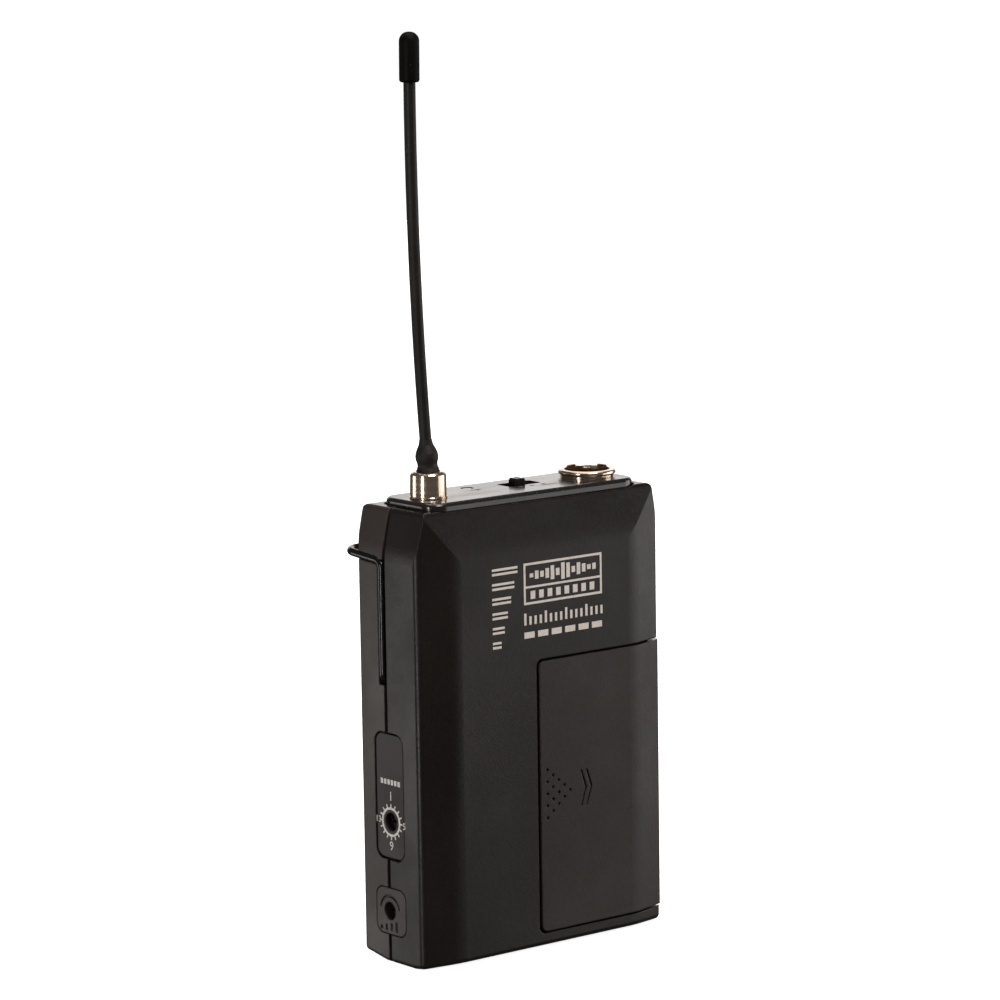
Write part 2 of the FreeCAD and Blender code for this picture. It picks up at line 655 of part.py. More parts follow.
def connector_shell():
    """The connector's metal barrel: neck, rounded lip, two latch posts at the back, a key inside."""
    x, y = CONNECTOR_XY
    lip_z, top = PLATE_TOP + NECK_H, PLATE_TOP + RING_H
    lip = tube(RING_R, RING_BORE_R, (x, y, lip_z), (x, y, top))
    rims = [e for e in lip.Edges if e.Curve.TypeId == "Part::GeomCircle" and e.Curve.Radius > 6]
    lip = lip.makeFillet(0.4, rims)
    neck = tube(NECK_R, RING_BORE_R, (x, y, PLATE_TOP), (x, y, lip_z + 0.1))
    barrel = tube(BARREL_R, RING_BORE_R, (x, y, BARREL_BOTTOM), (x, y, PLATE_TOP + 0.2))
    crown = tube(RING_R - 0.15, RING_BORE_R, (x, y, top - 0.2), (x, y, top + LATCH_H))
    half, post = LATCH_W / 2, LATCH_POST
    middle = V(x, y, 0)
    posts = [crown.common(box(x + a, x + b, y, y + 10, top - 1, top + 5))
             for a, b in ((-half - post, -half), (half, half + post))]
    key = box(x - 0.7, x + 0.7, y + RING_BORE_R - 0.7, y + RING_BORE_R + 0.2,
              BARREL_BOTTOM + 6, top - 0.4)
    details = [key] + posts
    for detail in details:
        detail.rotate(middle, Z, LATCH_TURN)
    return lip.fuse([neck, barrel] + details)


def connector_insert():
    """The insulating floor of the connector."""
    x, y = CONNECTOR_XY
    floor = rod(RING_BORE_R, (x, y, BARREL_BOTTOM), (x, y, BARREL_BOTTOM + 5.5))
    for px, py in pin_places():
        floor = floor.cut(rod(0.5, (px, py, BARREL_BOTTOM - 1), (px, py, BARREL_BOTTOM + 7)))
    return floor


def pin_places():
    """The contacts' places on their circle."""
    x, y = CONNECTOR_XY
    return [(x + 2.4 * cos(radians(a)), y + 2.4 * sin(radians(a))) for a in (-150, -90, -30, 30, 150)]


def connector_pins():
    pins = []
    for px, py in pin_places():
        pin = rod(0.5, (px, py, BARREL_BOTTOM - 3), (px, py, BARREL_BOTTOM + 12))
        tip = [e for e in pin.Edges if min(v.Z for v in e.Vertexes) > BARREL_BOTTOM + 11]
        pins.append(pin.makeFillet(0.3, tip))
    return Part.makeCompound(pins)


def hex_nut(x, y, across, bore, z0, z1):
    """A thin hexagonal nut."""
    reach = across / 2 / cos(radians(30))
    points = [(x + reach * cos(radians(a)), y + reach * sin(radians(a)), z0)
              for a in range(30, 390, 60)]
    return prism(points, Z * (z1 - z0)).cut(rod(bore, (x, y, z0 - 1), (x, y, z1 + 1)))


def connector_nut():
    return hex_nut(*CONNECTOR_XY, NUT_ACROSS, BARREL_R, PLATE_TOP - PLATE_THICK - 2.0,
                   PLATE_TOP - PLATE_THICK)


def antenna_nut():
    return hex_nut(*ANTENNA_XY, 6.4, 2.0, PLATE_TOP - PLATE_THICK - 2.0, PLATE_TOP - PLATE_THICK)


def antenna_stud():
    """The threaded base of the antenna, through the top plate."""
    x, y = ANTENNA_XY
    return rod(2.0, (x, y, 90.4), (x, y, PLATE_TOP + 1.5))


def antenna_ferrule():
    """The nickel collar round the foot of the antenna: thin flange, barrel, sloped shoulder."""
    x, y = ANTENNA_XY
    base, shoulder, top = 0.0, FERRULE_H - FERRULE_SHOULDER, FERRULE_H
    outline = [(2.0, base), (FERRULE_R_LOW + 0.12, base), (FERRULE_R_LOW + 0.12, 0.3),
               (FERRULE_R_LOW, 0.45), (FERRULE_R_HIGH, shoulder), (FERRULE_R_HIGH - 0.2, top - 0.25),
               (FERRULE_R_HIGH - 0.7, top), (2.45, top), (2.45, 1.5), (2.0, 1.5)]
    points = [V(r, 0, h) for r, h in outline]
    collar = Part.Face(Part.makePolygon(points + points[:1])).revolve(V(0, 0, 0), Z, 360)
    collar.translate(V(x, y, PLATE_TOP))
    return collar


def whip_path(height):
    """A point on the antenna's gently bowed centre line, at a height above the top plate."""
    x, y = ANTENNA_XY
    run = ANTENNA_TOP - FERRULE_H
    t = (height - FERRULE_H) / run
    return V(x + WHIP_LEAN * t + WHIP_SAGITTA * 4 * t * (1 - t), y, PLATE_TOP + height)


def whip_arc(h0, h1, radius):
    """A stretch of the whip between two heights, as one arc."""
    start, middle, end = (whip_path(h) for h in (h0, (h0 + h1) / 2, h1))
    arc = Part.Arc(start, middle, end).toShape()
    return sweep([arc], radius, start, arc.tangentAt(arc.FirstParameter))


def antenna_boot():
    """The moulded rubber foot: a plug in the ferrule, a waist, a bulge, and a taper to the whip."""
    x, y = ANTENNA_XY
    plug = rod(2.45, (x, y, PLATE_TOP + 1.5), (x, y, PLATE_TOP + FERRULE_H + 0.2))
    outline = [(0, 0), (2.2, 0), (2.4, 0.5), (2.1, 1.3), (2.1, 1.9), (2.33, 2.7), (2.4, 3.4),
               (2.28, 4.2), (1.95, 5.0), (1.5, 5.9), (1.3, 7.0), (0, 7.0)]
    points = [V(r, 0, h) for r, h in outline]
    neck = Part.Face(Part.makePolygon(points + points[:1])).revolve(V(0, 0, 0), Z, 360)
    foot = whip_path(FERRULE_H - 0.2)
    rise = whip_path(WHIP_FOOT + 3) - foot
    neck.rotate(V(0, 0, 0), Z.cross(rise), degrees(Z.getAngle(rise)))
    neck.translate(foot)
    return plug.fuse(neck).cut(whip_arc(WHIP_FOOT, 14.0, WHIP_R))


def antenna_core():
    return whip_arc(WHIP_FOOT, ANTENNA_TOP - 3.0, CORE_R)


def antenna_sheath():
    """The rubber sheath of the whip, over its wire core."""
    outer = whip_arc(WHIP_FOOT, ANTENNA_TOP - TIP_LENGTH, WHIP_R)
    return outer.cut(antenna_core())


def antenna_tip():
    """The rounded cap at the end of the whip."""
    top = whip_path(ANTENNA_TOP)
    foot = whip_path(ANTENNA_TOP - TIP_LENGTH)
    cap = rod(TIP_R, foot, top)
    ends = [e for e in cap.Edges if e.Curve.TypeId == "Part::GeomCircle"]
    high = max(ends, key=lambda e: e.Vertexes[0].Z)
    low = min(ends, key=lambda e: e.Vertexes[0].Z)
    cap = cap.makeFillet(1.95, [high]).makeFillet(0.6, [low])
    return cap.cut(antenna_core())


def clip_leg(side, radius):
    """One side leg: end stub, upright in its recess, and run to the back corner."""
    x = side * WIRE_X
    bar_x = side * (WIRE_X - CLIP_CORNER_R - 0.5)
    points = [V(side * (WIRE_X - 3.3), WIRE_Y, CLIP_END_Z), V(x, WIRE_Y, CLIP_END_Z),
              V(x, WIRE_Y, CLIP_BEND_Z), V(x, CLIP_BAR_Y, CLIP_TOP_Z),
              V(bar_x, CLIP_BAR_Y, CLIP_TOP_Z)]
    edges = rounded_path(points, (1.5, 1.8, CLIP_CORNER_R))
    return sweep(edges, radius, points[0], X * side)


def clip_legs():
    return Part.makeCompound([clip_leg(side, WIRE_R) for side in (-1, 1)])


def belt_clip():
    """The clip's back: two level bars, and the tongue that hangs down and springs out."""
    bar_x = WIRE_X - CLIP_CORNER_R - 0.5
    half = [V(bar_x, CLIP_BAR_Y, CLIP_TOP_Z), V(TONGUE_X, CLIP_BAR_Y, CLIP_TOP_Z),
            V(TONGUE_X, CLIP_BAR_Y, CLIP_TOP_Z - 22), V(TONGUE_X, TONGUE_NEAR_Y, TONGUE_BOTTOM + 9),
            V(TONGUE_X, TONGUE_NEAR_Y + 1.9, TONGUE_BOTTOM)]
    other = [V(-p.x, p.y, p.z) for p in reversed(half)]
    edges = rounded_path(half + other, (3.0, 20.0, 6.0, 5.0, 5.0, 6.0, 20.0, 3.0))
    return sweep(edges, WIRE_R, half[0], X)


def build():
    """Every part, keyed by its node's name."""
    return {
        "front_shell": front_shell(),
        "rear_shell": rear_shell(),
        "gain_pad": gain_insert(),
        "channel_label": channel_label(),
        "battery_door": battery_door(),
        "battery_tray": battery_tray(),
        "battery_cell_left": cell(CELL_X[0], True),
        "battery_cell_right": cell(CELL_X[1], False),
        "contact_springs": contact_springs(),
        "contact_plates": contact_plates(),
        "main_board": main_board(),
        "board_screws": board_screws(),
        "board_parts": board_parts(),
        "rf_shield": rf_shield(),
        "channel_switch_body": channel_switch(),
        "channel_rotor": channel_rotor(),
        "gain_pot_body": gain_pot(),
        "gain_rotor": gain_rotor(),
        "top_plate": top_plate(),
        "top_board": top_board(),
        "switch_body": switch_body(),
        "switch_knob": switch_knob(),
        "led_lens": led_lens(),
        "led_base": led_base(),
        "connector_shell": connector_shell(),
        "connector_insert": connector_insert(),
        "connector_pins": connector_pins(),
        "connector_nut": connector_nut(),
        "antenna_stud": antenna_stud(),
        "antenna_nut": antenna_nut(),
        "antenna_ferrule": antenna_ferrule(),
        "antenna_boot": antenna_boot(),
        "antenna_sheath": antenna_sheath(),
        "antenna_core": antenna_core(),
        "antenna_tip": antenna_tip(),
        "clip_legs": clip_legs(),
        "belt_clip": belt_clip(),
    }


os.makedirs("parts", exist_ok=True)
for name, shape in build().items():
    shape.exportStep(f"parts/{name}.step")
    print(name, "valid", shape.isValid(), "solids", len(shape.Solids), "volume", round(shape.Volume, 2))
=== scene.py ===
"""The looks of a belt-worn radio transmitter: materials, printed marks, light and camera.

Everything is in metres, in the CAD model's frame: X across the width, -Y out of the front, Z up.
"""
from math import cos, pi, radians, sin, tau

import bmesh
import bpy
from mathutils import Matrix, Vector

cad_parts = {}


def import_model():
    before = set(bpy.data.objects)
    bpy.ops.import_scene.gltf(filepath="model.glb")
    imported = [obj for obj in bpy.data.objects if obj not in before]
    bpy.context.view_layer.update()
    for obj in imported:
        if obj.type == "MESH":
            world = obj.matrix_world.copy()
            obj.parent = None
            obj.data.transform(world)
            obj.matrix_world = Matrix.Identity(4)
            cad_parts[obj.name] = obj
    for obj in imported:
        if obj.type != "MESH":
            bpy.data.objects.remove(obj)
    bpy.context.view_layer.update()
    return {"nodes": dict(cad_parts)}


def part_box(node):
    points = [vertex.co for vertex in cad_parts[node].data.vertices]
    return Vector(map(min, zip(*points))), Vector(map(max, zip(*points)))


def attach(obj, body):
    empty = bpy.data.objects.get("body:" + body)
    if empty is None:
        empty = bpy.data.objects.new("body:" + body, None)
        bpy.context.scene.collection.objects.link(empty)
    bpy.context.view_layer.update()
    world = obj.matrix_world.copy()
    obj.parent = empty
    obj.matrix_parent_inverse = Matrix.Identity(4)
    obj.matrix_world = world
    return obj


MM = 0.001

# Camera: direction it looks from, roll, lens and place
CAM_AZIMUTH, CAM_ELEVATION, CAM_ROLL = radians(-38.818), radians(8.801), radians(-0.871)
CAM_LENS, CAM_SENSOR = 154.82, 36.0
CAM_PLACE = Vector((-0.56244, -0.69499, 0.23319))

# Printed marks, in millimetres
DIAL_Y, DIAL_Z = 1.2, 30.3
DIAL_NUMBERS_OUT = {"1": 5.4, "5": 4.45, "9": 5.2, "13": 4.35}
INK_PROUD, INK_SUNK = 0.02, 0.03
NUMBER_SIZE = 1.38           # type size over the height of its figures

# Light
FLOOR_GLOW, ROOM_GLOW = 0.92, 0.09
LIGHT_TARGET = (0.0, 0.0, 0.07)


# ---------------------------------------------------------------- materials

class Graph:
    """One procedural material, built a node at a time round a Principled shader."""

    def __init__(self, name, **sockets):
        self.material = bpy.data.materials.new(name)
        self.material.use_nodes = True
        self.tree = self.material.node_tree
        self.tree.nodes.clear()
        self.output = self.tree.nodes.new("ShaderNodeOutputMaterial")
        self.shader = self.tree.nodes.new("ShaderNodeBsdfPrincipled")
        self.link(self.shader.outputs[0], self.output.inputs["Surface"])
        for socket, value in sockets.items():
            self.shader.inputs[socket.replace("_", " ")].default_value = value
        self.place = self.node("ShaderNodeTexCoord").outputs["Object"]

    def node(self, kind, settings=None, **inputs):
        """Adds a node: settings are its properties, and inputs are values or links."""
        made = self.tree.nodes.new(kind)
        for key, value in (settings or {}).items():
            setattr(made, key, value)
        for key, value in inputs.items():
            socket = int(key[1:]) if key[1:].isdigit() else key.replace("_", " ")
            self.feed(made.inputs[socket], value)
        return made

    def feed(self, socket, value):
        if isinstance(value, bpy.types.NodeSocket):
            self.link(value, socket)
        else:
            socket.default_value = value

    def link(self, a, b):
        self.tree.links.new(a, b)

    def noise(self, scale, detail=2.0, roughness=0.5, place=None):
        """A noise value from 0 to 1, with features about 1/scale metres across."""
        made = self.node("ShaderNodeTexNoise", Vector=place or self.place, Scale=scale,
                         Detail=detail, Roughness=roughness)
        return made.outputs["Fac"]

    def ramp(self, value, low, high, to_low=0.0, to_high=1.0):
        """A value mapped from one range to another, held at the ends."""
        return self.node("ShaderNodeMapRange", {"interpolation_type": "SMOOTHSTEP"}, Value=value,
                         From_Min=low, From_Max=high, To_Min=to_low, To_Max=to_high).outputs[0]

    def math(self, operation, a, b=0.0):
        return self.node("ShaderNodeMath", {"operation": operation}, i0=a, i1=b).outputs[0]

    def mix(self, factor, a, b):
        """A colour between two colours."""
        made = self.node("ShaderNodeMix", {"data_type": "RGBA"}, i0=factor)
        self.feed(made.inputs[6], a)
        self.feed(made.inputs[7], b)
        return made.outputs[2]

    def stretched(self, x, y, z):
        """Object coordinates stretched along an axis, for brushed or drawn grain."""
        return self.node("ShaderNodeMapping", Vector=self.place, Scale=(x, y, z)).outputs[0]

    def edges(self, radius):
        """1 near a sharp edge and 0 away from it, and the softened normal that shows it."""
        bevel = self.node("ShaderNodeBevel", {"samples": 6}, Radius=radius).outputs[0]
        normal = self.node("ShaderNodeNewGeometry").outputs["Normal"]
        dot = self.node("ShaderNodeVectorMath", {"operation": "DOT_PRODUCT"}, i0=bevel, i1=normal)
        return self.ramp(dot.outputs["Value"], 0.995, 0.85), bevel

    def bump(self, height, strength, distance, normal=None):
        made = self.node("ShaderNodeBump", Height=height, Strength=strength, Distance=distance)
        if normal is not None:
            self.link(normal, made.inputs["Normal"])
        return made.outputs[0]

    def finish(self, **inputs):
        for socket, value in inputs.items():
            self.feed(self.shader.inputs[socket.replace("_", " ")], value)
        return self.material


def rgb(red, green, blue):
    """A colour from display values of 0 to 255."""
    def linear(v):
        v /= 255
        return v / 12.92 if v <= 0.04045 else ((v + 0.055) / 1.055) ** 2.4
    return (linear(red), linear(green), linear(blue), 1.0)


def moulded_plastic(name, colour, rough, grain=1.0, wear=1.0, gloss=0.4):
    """Spark-textured plastic: fine grain, handling marks, paler edges and a polished top."""
    g = Graph(name, Specular_IOR_Level=gloss)
    edge, soft = g.edges(0.35 * MM)
    patches = g.noise(45.0, 4.0)
    fine = g.noise(2600.0, 3.0, 0.6)
    coarse = g.noise(900.0, 2.0)
    lighter = tuple(min(1.0, c * 1.45 + 0.004) for c in colour[:3]) + (1.0,)
    darker = tuple(c * 0.78 for c in colour[:3]) + (1.0,)
    base = g.mix(g.ramp(patches, 0.35, 0.68), darker, colour)
    base = g.mix(g.ramp(fine, 0.52, 0.75, 0.0, 0.5), base, lighter)
    rub = g.math("MULTIPLY", edge, g.ramp(g.noise(220.0, 5.0), 0.45, 0.62, 0.0, 0.55 * wear))
    base = g.mix(rub, base, tuple(min(1.0, c * 2.6 + 0.01) for c in colour[:3]) + (1.0,))
    smooth = g.ramp(g.noise(30.0, 6.0, 0.65), 0.38, 0.66, rough + 0.05, rough - 0.06)
    smooth = g.math("ADD", smooth, g.ramp(fine, 0.3, 0.8, -0.05, 0.06))
    facing = g.node("ShaderNodeTexCoord").outputs["Normal"]
    upward = g.node("ShaderNodeSeparateXYZ", Vector=facing).outputs[2]
    smooth = g.math("MULTIPLY", smooth, g.ramp(upward, 0.45, 0.85, 1.0, 0.5))
    height = g.math("ADD", fine, g.math("MULTIPLY", coarse, 0.6))
    return g.finish(Base_Color=base, Roughness=smooth,
                    Normal=g.bump(height, 0.55 * grain, 0.05 * MM, soft))


def glossy_panel():
    """Polished black moulding with dust specks, wiping haze and faint ripples."""
    g = Graph("glossy_panel", Specular_IOR_Level=0.55, Coat_Weight=0.25, Coat_Roughness=0.06)
    edge, soft = g.edges(0.2 * MM)
    haze = g.noise(60.0, 5.0, 0.6, g.stretched(1.0, 3.0, 1.0))
    specks = g.ramp(g.noise(1500.0, 1.0), 0.73, 0.78, 0.0, 0.6)
    base = g.mix(specks, rgb(26, 24, 23), rgb(92, 88, 84))
    base = g.mix(g.math("MULTIPLY", edge, 0.25), base, rgb(70, 66, 62))
    rough = g.math("ADD", g.ramp(haze, 0.35, 0.7, 0.16, 0.27), g.math("MULTIPLY", specks, 0.3))
    return g.finish(Base_Color=base, Roughness=rough,
                    Normal=g.bump(g.noise(120.0, 2.0), 0.12, 0.03 * MM, soft))


def label_film():
    """Smooth satin film, darker than the case, with a fine matt texture."""
    g = Graph("label_film", Specular_IOR_Level=0.26)
    _, soft = g.edges(0.12 * MM)
    base = g.mix(g.noise(140.0, 3.0), rgb(38, 34, 33), rgb(48, 44, 42))
    rough = g.ramp(g.noise(70.0, 4.0), 0.35, 0.65, 0.42, 0.52)
    return g.finish(Base_Color=base, Roughness=rough,
                    Normal=g.bump(g.noise(3500.0, 2.0), 0.2, 0.03 * MM, soft))


def plated_metal(name, colour, rough, turned=True):
    """Nickel plate over a turned part: fine rings, dull patches, tarnish in random spots."""
    g = Graph(name, Metallic=1.0)
    edge, soft = g.edges(0.12 * MM)
    rings = g.noise(90.0, 3.0, 0.6, g.stretched(0.15, 0.15, 30.0) if turned else None)
    tarnish = g.ramp(g.noise(260.0, 5.0, 0.62), 0.52, 0.72, 0.0, 0.55)
    base = g.mix(tarnish, colour, tuple(c * 0.55 for c in colour[:3]) + (1.0,))
    base = g.mix(g.math("MULTIPLY", edge, 0.5), base, rgb(250, 243, 232))
    value = g.math("ADD", g.ramp(rings, 0.3, 0.7, rough * 0.7, rough * 1.4),
                   g.math("MULTIPLY", tarnish, 0.16))
    return g.finish(Base_Color=base, Roughness=value, Normal=g.bump(rings, 0.15, 0.02 * MM, soft))


def antenna_rubber(name="antenna_rubber", dark=rgb(13, 9, 7), pale=rgb(24, 18, 15), gloss=0.3):
    """Dull black-brown rubber: extrusion streaks, bloom and lint."""
    g = Graph(name, Specular_IOR_Level=gloss)
    _, soft = g.edges(0.15 * MM)
    streaks = g.noise(500.0, 3.0, 0.6, g.stretched(1.0, 1.0, 0.06))
    bloom = g.noise(75.0, 5.0, 0.6)
    base = g.mix(g.ramp(bloom, 0.4, 0.7), dark, pale)
    base = g.mix(g.ramp(g.noise(1900.0, 1.0), 0.72, 0.77, 0.0, 0.45), base, rgb(104, 96, 90))
    rough = g.ramp(streaks, 0.3, 0.7, 0.46, 0.62)
    height = g.math("ADD", streaks, g.math("MULTIPLY", g.noise(2400.0, 2.0), 0.5))
    return g.finish(Base_Color=base, Roughness=rough, Normal=g.bump(height, 0.3, 0.04 * MM, soft))


def coated_wire():
    """Black coating over steel wire: glossy, with scuffs where it rubs and thin bright wear."""
    g = Graph("coated_wire", Specular_IOR_Level=0.3, Coat_Weight=0.22, Coat_Roughness=0.1)
    scuff = g.ramp(g.noise(420.0, 5.0, 0.65), 0.5, 0.68)
    bare = g.ramp(g.noise(900.0, 3.0), 0.7, 0.76, 0.0, 0.6)
    base = g.mix(scuff, rgb(8, 7, 7), rgb(17, 15, 14))
    base = g.mix(bare, base, rgb(66, 62, 58))
    rough = g.math("ADD", g.ramp(scuff, 0.0, 1.0, 0.2, 0.42), g.math("MULTIPLY", bare, 0.1))
    return g.finish(Base_Color=base, Roughness=rough,
                    Normal=g.bump(g.noise(700.0, 3.0), 0.18, 0.04 * MM))


def lamp_lens():
    """A dark tinted lens, unlit, with moulding swirls."""
    g = Graph("lamp_lens", Specular_IOR_Level=0.5, Coat_Weight=0.5, Coat_Roughness=0.08)
    swirl = g.noise(700.0, 4.0)
    base = g.mix(g.ramp(swirl, 0.35, 0.65), rgb(20, 12, 12), rgb(40, 18, 16))
    return g.finish(Base_Color=base, Roughness=g.ramp(swirl, 0.3, 0.7, 0.12, 0.26),
                    Normal=g.bump(swirl, 0.1, 0.03 * MM))


def board_laminate():
    """Green solder mask with copper tracks showing under it as paler lines."""
    g = Graph("board_laminate", Specular_IOR_Level=0.5)
    cells = g.node("ShaderNodeTexVoronoi", {"feature": "DISTANCE_TO_EDGE", "distance": "MANHATTAN"},
                   Vector=g.place, Scale=420.0).outputs["Distance"]
    tracks = g.ramp(cells, 0.06, 0.12)
    base = g.mix(tracks, rgb(46, 104, 58), rgb(18, 58, 30))
    return g.finish(Base_Color=base, Roughness=g.ramp(g.noise(200.0, 3.0), 0.3, 0.7, 0.28, 0.42),
                    Normal=g.bump(tracks, 0.4, 0.03 * MM))


def cell_sleeve():
    """The printed sleeve of a battery cell: dark body, a copper-coloured band at one end."""
    g = Graph("cell_sleeve", Specular_IOR_Level=0.5, Coat_Weight=0.3, Coat_Roughness=0.1)
    height = g.node("ShaderNodeSeparateXYZ", Vector=g.place).outputs[2]
    band = g.ramp(height, 0.0440, 0.0442)
    body = g.mix(g.noise(90.0, 4.0), rgb(30, 30, 33), rgb(44, 44, 48))
    base = g.mix(band, body, rgb(176, 112, 60))
    return g.finish(Base_Color=base, Roughness=g.ramp(g.noise(130.0, 4.0), 0.3, 0.7, 0.2, 0.36),
                    Metallic=g.ramp(band, 0.0, 1.0, 0.0, 0.85),
                    Normal=g.bump(g.noise(350.0, 3.0), 0.1, 0.03 * MM))


def printing_ink():
    """Light warm grey pad-printed ink, thin and a little broken at the edges."""
    g = Graph("printing_ink", Specular_IOR_Level=0.35)
    worn = g.noise(1400.0, 5.0, 0.6)
    base = g.mix(g.ramp(worn, 0.25, 0.5), rgb(192, 184, 176), rgb(216, 208, 200))
    return g.finish(Base_Color=base, Roughness=g.ramp(worn, 0.3, 0.7, 0.5, 0.66),
                    Normal=g.bump(g.noise(2600.0, 2.0), 0.25, 0.03 * MM))


def label_ink():
    """White ink on the side label."""
    g = Graph("label_ink", Specular_IOR_Level=0.35)
    worn = g.noise(1500.0, 4.0, 0.6)
    base = g.mix(g.ramp(worn, 0.3, 0.6), rgb(196, 193, 188), rgb(232, 229, 224))
    return g.finish(Base_Color=base, Roughness=g.ramp(worn, 0.3, 0.7, 0.45, 0.6),
                    Normal=g.bump(worn, 0.15, 0.02 * MM))


def plate_ink():
    """Matt grey ink on the glossy plate."""
    g = Graph("plate_ink", Specular_IOR_Level=0.15)
    worn = g.noise(1500.0, 4.0, 0.6)
    base = g.mix(g.ramp(worn, 0.3, 0.6), rgb(88, 85, 82), rgb(112, 108, 104))
    return g.finish(Base_Color=base, Roughness=g.ramp(worn, 0.3, 0.7, 0.7, 0.85),
                    Normal=g.bump(worn, 0.15, 0.02 * MM))


def set_material(obj, material):
    obj.data.materials.clear()
    obj.data.materials.append(material)


def dress_frame(nodes):
    """Gives every CAD node its finished material."""
    case = moulded_plastic("case_plastic", rgb(22, 18, 16), 0.38, gloss=0.28)
    # The rear shell and gain pad (back) and the battery door (door) get paler copies of the case
    # plastic. This is painted light: the paler colour gives their faces the lighter tones they take
    # under this light.
    back = moulded_plastic("case_plastic_back_painted_lighter", rgb(46, 39, 36), 0.42, gloss=0.42)
    door = moulded_plastic("door_plastic_painted_lighter", rgb(34, 29, 27), 0.42, gloss=0.32)
    inner = moulded_plastic("inner_plastic", rgb(22, 21, 20), 0.5, grain=0.5, gloss=0.3)
    # Near-black control plastic. Part of this is the controls' own black, and part is painted
    # shade: the colour is darkened further to stand in for the shade in the control recesses.
    knob = moulded_plastic("knob_plastic", rgb(9, 8, 8), 0.5, grain=0.4, gloss=0.2)
    nickel = plated_metal("nickel_plate", rgb(226, 203, 180), 0.17)
    steel = plated_metal("plain_steel", rgb(170, 168, 164), 0.3, turned=False)
    brass = plated_metal("brass", rgb(204, 168, 96), 0.28)
    gold = plated_metal("gold_plate", rgb(236, 196, 110), 0.2)
    rubber, wire, board = antenna_rubber(), coated_wire(), board_laminate()
    end_cap = antenna_rubber("antenna_end_rubber", rgb(6, 4, 3), rgb(10, 7, 6), gloss=0.07)
    sleeve = cell_sleeve()
    finishes = {
        case: ["front_shell"],
        door: ["battery_door"],
        back: ["rear_shell", "gain_pad"],
        inner: ["battery_tray", "channel_switch_body", "gain_pot_body", "board_parts",
                "switch_body", "led_base", "connector_insert"],
        knob: ["switch_knob", "channel_rotor", "gain_rotor"],
        nickel: ["antenna_ferrule", "connector_shell", "connector_nut", "antenna_nut"],
        steel: ["board_screws", "rf_shield", "contact_springs", "contact_plates",
                "antenna_core"],
        brass: ["antenna_stud"],
        gold: ["connector_pins"],
        rubber: ["antenna_boot", "antenna_sheath"],
        end_cap: ["antenna_tip"],
        wire: ["belt_clip", "clip_legs"],
        board: ["main_board", "top_board"],
        sleeve: ["battery_cell_left", "battery_cell_right"],
        glossy_panel(): ["top_plate"],
        label_film(): ["channel_label"],
        lamp_lens(): ["led_lens"],
    }
    for material, names in finishes.items():
        for name in names:
            set_material(nodes[name], material)
    missed = set(nodes) - {n for names in finishes.values() for n in names}
    assert not missed, f"no finish for {sorted(missed)}"


# ---------------------------------------------------------------- printed marks

class Print:
    """Thin printed shapes on one flat face: each is a closed sliver of ink."""

    def __init__(self, name, to_face):
        self.name, self.to_face, self.bm = name, to_face, bmesh.new()

    def shape(self, outline):
        """A convex outline of (u, v) points in millimetres, as a closed prism."""
        low, high = [[self.bm.verts.new(self.to_face(u, v, h)) for u, v in outline]
                     for h in (-INK_SUNK, INK_PROUD)]
        self.bm.faces.new(high)
        self.bm.faces.new(low[::-1])
        for i in range(len(outline)):
            j = (i + 1) % len(outline)
            self.bm.faces.new((low[i], low[j], high[j], high[i]))

    def bar(self, u0, u1, v0, v1):
        self.shape([(u0, v0), (u1, v0), (u1, v1), (u0, v1)])

    def frame(self, u0, u1, v0, v1, stroke):
        self.bar(u0, u1, v0, v0 + stroke)
        self.bar(u0, u1, v1 - stroke, v1)
        self.bar(u0, u0 + stroke, v0 + stroke, v1 - stroke)
        self.bar(u1 - stroke, u1, v0 + stroke, v1 - stroke)

    def ring(self, u, v, inner, outer, steps=48):
        """A closed ring, with no overlap between its segments."""
        section = ((inner, -INK_SUNK), (outer, -INK_SUNK), (outer, INK_PROUD), (inner, INK_PROUD))
        rows = []
        for r, h in section:
            angles = [tau * k / steps for k in range(steps)]
            rows.append([self.bm.verts.new(self.to_face(u + r * cos(a), v + r * sin(a), h))
                         for a in angles])
        for a in range(4):
            b = (a + 1) % 4
            for k in range(steps):
                m = (k + 1) % steps
                self.bm.faces.new((rows[a][k], rows[a][m], rows[b][m], rows[b][k]))

    def ticks(self, u, v, inner, outer, count, width):
        """Short radial strokes round a dial."""
        for k in range(count):
            a = tau * k / count
            out, side = (cos(a), sin(a)), (-sin(a) * width / 2, cos(a) * width / 2)
            corners = [(inner, -1), (outer, -1), (outer, 1), (inner, 1)]
            self.shape([(u + r * out[0] + s * side[0], v + r * out[1] + s * side[1])
                        for r, s in corners])

    def number(self, text, u, v, height):
        """A plain number, centred on a point."""
        curve = bpy.data.curves.new("number", "FONT")
        curve.body, curve.size = text, height * NUMBER_SIZE
        curve.align_x, curve.align_y = "CENTER", "CENTER"
        curve.extrude, curve.resolution_u = (INK_PROUD + INK_SUNK) / 2, 3
        source = bpy.data.objects.new("number", curve)
        bpy.context.collection.objects.link(source)
        flat = bpy.data.meshes.new_from_object(source)
        middle = (INK_PROUD - INK_SUNK) / 2
        for vert in flat.vertices:
            vert.co = self.to_face(u + vert.co.x, v + vert.co.y, middle + vert.co.z)
        self.bm.from_mesh(flat)
        bpy.data.objects.remove(source)
        bpy.data.curves.remove(curve)
        bpy.data.meshes.remove(flat)

    def done(self, body, material):
        bmesh.ops.remove_doubles(self.bm, verts=self.bm.verts, dist=1e-7)
        bmesh.ops.recalc_face_normals(self.bm, faces=self.bm.faces)
        made = mesh_object(self.name, self.bm)
        set_material(made, material)
        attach(made, body)


